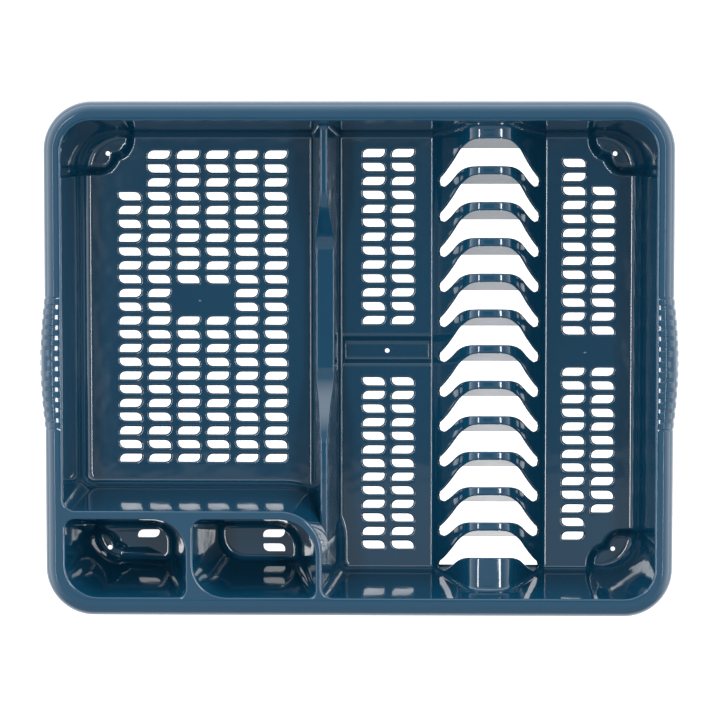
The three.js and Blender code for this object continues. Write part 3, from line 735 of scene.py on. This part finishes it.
def rack_rings(back_slot, front_slot):
    """Rings along the arch. Each runs across a rib, from the slot in front to the one behind."""
    line = arch_line()
    rings = []
    for point, normal in zip(line, arch_normals(line)):
        z = point.y
        soft = min(slot_gap(z) / 3, 1)
        edge = [(run * max(soft, 0.15), -drop * soft) for run, drop in EDGE_SOFT]
        front = slot_edge(SLOT_BACK, front_slot, z) if front_slot else -wall_depth(z)
        back = slot_edge(SLOT_FRONT, back_slot, z) if back_slot else wall_depth(z)
        turn = min(WALL_TURN, (back - front) * 0.55)
        before = [(front + run, lift) for run, lift in (edge if front_slot else wall_turn(z, turn))]
        after = [(back - run, lift) for run, lift in (edge if back_slot else wall_turn(z, turn))]
        inner = spread(before[-1][0], after[-1][0], 5)[1:-1]
        stations = before + [(y, 0) for y in inner] + after[::-1]
        ring = []
        for y, lift in stations:
            place = point + normal * lift
            ring.append(Vector((RACK_X + place.x, y, place.y)))
        rings.append(ring)
    return rings


def wall_turn(z, radius):
    """(distance from the wall, lift off the arch) where the arch turns into a wall."""
    turn = []
    for share in (0, 0.025, 0.1, 0.25, 0.47, 0.72, 1):
        lift = radius - sqrt(radius ** 2 - (radius - radius * share) ** 2)
        turn.append((radius * share, lift * min(max((z - FLOOR) / 8, 0), 1)))
    return turn


def add_web(bm, slot):
    """The web on the back of a slot, under the crest of the rib behind it."""
    line = [point for point in arch_line() if point.y > WEB_BOTTOM]
    outline = [point + normal * -0.9 for point, normal in zip(line, arch_normals(line))]
    shift = SLOT_PITCH * (slot - 1)
    rings = []
    for thick in (0, 2):
        rings.append([Vector((RACK_X + x, WEB_Y + WEB_LEAN * (z - WEB_BOTTOM) - shift + thick, z))
                      for x, z in outline])
    first, last = loft(bm, rings, True)
    bmesh.ops.holes_fill(bm, edges=first + last)


def rack_piece(name, back_slot, front_slot):
    bm = bmesh.new()
    loft(bm, rack_rings(back_slot, front_slot), False)
    bmesh.ops.recalc_face_normals(bm, faces=bm.faces)
    if sum(face.normal.z * face.calc_area() for face in bm.faces) < 0:
        bmesh.ops.reverse_faces(bm, faces=bm.faces)
    bmesh.ops.solidify(bm, geom=bm.faces[:], thickness=SHELL)
    if front_slot:
        add_web(bm, front_slot)
    finish_piece(name, bm, [name])


rack_piece("rack_back_end", None, 1)
for rib in range(1, RACK_SLOTS):
    rack_piece(f"plate_rib_{rib}", rib, rib + 1)
rack_piece("rack_front_end", RACK_SLOTS, None)


# ---- Cross trough ----
# Between the two middle floors the moulding sinks into a shallow trough, which gathers water and
# lets it out through one drain hole. Its sides slope, and both ends drop steeply.
TROUGH_DEEP = 4
TROUGH_LINE = [
    (TROUGH_Y[1], FLOOR), (12.4, FLOOR, 4.5), (9.4, TROUGH_DEEP, 6),
    (-6, TROUGH_DEEP, 3.6), (-7.8, FLOOR, 4.4), (TROUGH_Y[0], FLOOR)]
TROUGH_END = [(0, 0), (0.12, 0.3), (0.35, 0.58), (0.7, 0.78), (1.2, 0.91), (1.8, 0.98), (2.5, 1)]
TROUGH_HOLE = (20.4, 1.1)                      # TROUGH_END is (run from the end, share of the depth)


def trough_rings():
    """Rings across the trough, from the ridge to the plate rack."""
    left, right = RIDGE_X + RIDGE_HALF, RACK_X - RACK_HALF
    stations = [(left + run, share) for run, share in TROUGH_END]
    stations += [(right - run, share) for run, share in reversed(TROUGH_END)]
    line = arc_line(TROUGH_LINE, 8)
    return [[Vector((x, y, FLOOR - (FLOOR - z) * share)) for y, z in line] for x, share in stations]


trough_bm = bmesh.new()
loft(trough_bm, trough_rings(), False)
trough = finish_piece("cross_trough", trough_bm, ["cross_trough"], SHELL)
trough_hole_bm = bmesh.new()
hole_cutter(trough_hole_bm, *TROUGH_HOLE)
drill(trough, trough_hole_bm)


# ---- Cutlery block: outer wall ----
# A wall with draft turns round the two cutlery wells, from the left side to the front. It is
# tangent to both tray walls and to the floor, and its upper edge is softened like the rim's.
def curtain_ring(z, come_in, back):
    face, side_turn, round_off, front_turn = block_corner(z, come_in)
    x, y = wall_place(z, come_in)
    left, front = -x - back, -y - back
    face = face - Vector((back, back))
    corners = [
        (left, face.y + side_turn + back), (left, face.y, side_turn + back),
        (face.x, face.y, round_off - back), (face.x, front, front_turn + back),
        (face.x + front_turn + back, front)]
    return arc_line(corners, 14)[1:-1]


def curtain_rings():
    lip = [at_height(curtain_ring(z, 0, back), z) for back, z in lip_curve()]
    walls = []
    for z, come_in in tray_levels()[1:]:
        walls.append(at_height(curtain_ring(z, come_in, 0), z))
    return lip + walls


curtain_bm = bmesh.new()
loft(curtain_bm, curtain_rings(), False)
finish_piece("cutlery_wall", curtain_bm, ["cutlery_wall"], SHELL)


# ---- Cutlery wells ----
# Two deep tapered cups for cutlery. Two opposite corners of each are generously rounded, and
# the floors are small, with a drain slot or two. The left one stands on the fourth foot.
WELLS = {
    "cutlery_well_left": {
        "top": (-221.5, -130.5, -179.4, -120.3), "top_r": (25, 6, 25.5, 7),
        "floor": (-205.5, -147, -162, -133.8), "floor_r": (20, 8, 15, 8),
        "slots": [(-165.6, -141.9, False)]},
    "cutlery_well_right": {
        "top": (-125, -32.4, -179.4, -120.3), "top_r": (25, 5.5, 27.5, 7.5),
        "floor": (-109, -48.5, -162, -134), "floor_r": (20, 6, 20, 6),
        "slots": [(-67.8, -141.6, False), (-67.5, -152.6, True)]}}
WELL_CURVE = 5
WELL_STEPS = 10


def well_line(sides, radii, grow):
    x0, x1, y0, y1 = sides
    front_left, front_right, back_right, back_left = [max(r + grow, 0.4) for r in radii]
    corners = [(x0 - grow, y0 - grow, front_left), (x1 + grow, y0 - grow, front_right),
               (x1 + grow, y1 + grow, back_right), (x0 - grow, y1 + grow, back_left)]
    return arc_line(corners, WELL_STEPS, True)


def well_between(well, share, grow):
    """The well's outline part of the way down, 0 at the top and 1 at the floor."""
    sides = [a + (b - a) * share for a, b in zip(well["top"], well["floor"])]
    radii = [a + (b - a) * share for a, b in zip(well["top_r"], well["floor_r"])]
    return well_line(sides, radii, grow)


def foot_sink(x, y):
    return FOOT_DEPTH * soft_step(inside_lobes(-x, -y) / POST_RAMP)


def well_rings(well, has_foot):
    rings = [at_height(well_between(well, 0, back), z) for back, z in lip_curve()]
    low = FLOOR + WELL_CURVE
    share_low = (RIM_TOP - low) / (RIM_TOP - FLOOR)
    for step in range(1, 9):
        z = RIM_TOP - LIP - (RIM_TOP - LIP - low) * step / 8
        rings.append(at_height(well_between(well, (RIM_TOP - z) / (RIM_TOP - FLOOR), 0), z))
    for step in range(1, 8):
        turn = pi / 2 * step / 7
        line = well_between(well, share_low, -WELL_CURVE * (1 - cos(turn)))
        rings.append(at_height(line, low - WELL_CURVE * sin(turn)))
    last = rings[-1]
    centre = sum(last, Vector()) / len(last)
    for step in range(1, 25):
        rings.append([point.lerp(centre, step / 24.5) for point in last])
    if has_foot:
        for ring in rings[5:]:
            for point in ring:
                share = 1 - soft_step((point.z - FLOOR) / 16)
                point.z -= foot_sink(point.x, point.y) * share
    return rings


for name, well in WELLS.items():
    well_bm = bmesh.new()
    is_left = name == "cutlery_well_left"
    _, last = loft(well_bm, well_rings(well, is_left), True)
    bmesh.ops.holes_fill(well_bm, edges=last)
    cup = finish_piece(name, well_bm, [name], SHELL)
    cut_bm = bmesh.new()
    for x, y, mirrored in well["slots"]:
        lines = [slot_ring(x, y, mirrored, 0, z) for z in (2, 20)]
        first, last = loft(cut_bm, lines, True)
        bmesh.ops.holes_fill(cut_bm, edges=first + last)
    if is_left:
        hole_cutter(cut_bm, -DRAIN.x, -DRAIN.y)
    drill(cup, cut_bm)


# ---- Cutlery block: top ----
# A flat plate, level with the rim, bridges the wells. Its bars are what is left between them.
def rim_corner_line():
    """The rim's flat edge round the front left corner, from the front turn to the left turn."""
    x, y = RIM_IN + Vector((LIP, LIP))
    face, side_turn, _, front_turn = block_corner(RIM_TOP, 0)
    return arc_line([(face.x + front_turn, -y), (-x, -y, RIM_R + LIP), (-x, face.y + side_turn)], 14)


plate_bm = bmesh.new()
outside = curtain_rings()[0] + at_height(rim_corner_line(), RIM_TOP)[1:-1]
plate_lines = [outside] + [at_height(well_between(well, 0, LIP), RIM_TOP) for well in WELLS.values()]
plate_edges = []
for line in plate_lines:
    verts = [plate_bm.verts.new(point) for point in line]
    plate_edges += [plate_bm.edges.new(pair) for pair in zip(verts, verts[1:] + verts[:1])]
bmesh.ops.triangle_fill(plate_bm, use_beauty=True, use_dissolve=False, edges=plate_edges)
finish_piece("cutlery_rim", plate_bm, ["cutlery_rim"], SHELL)
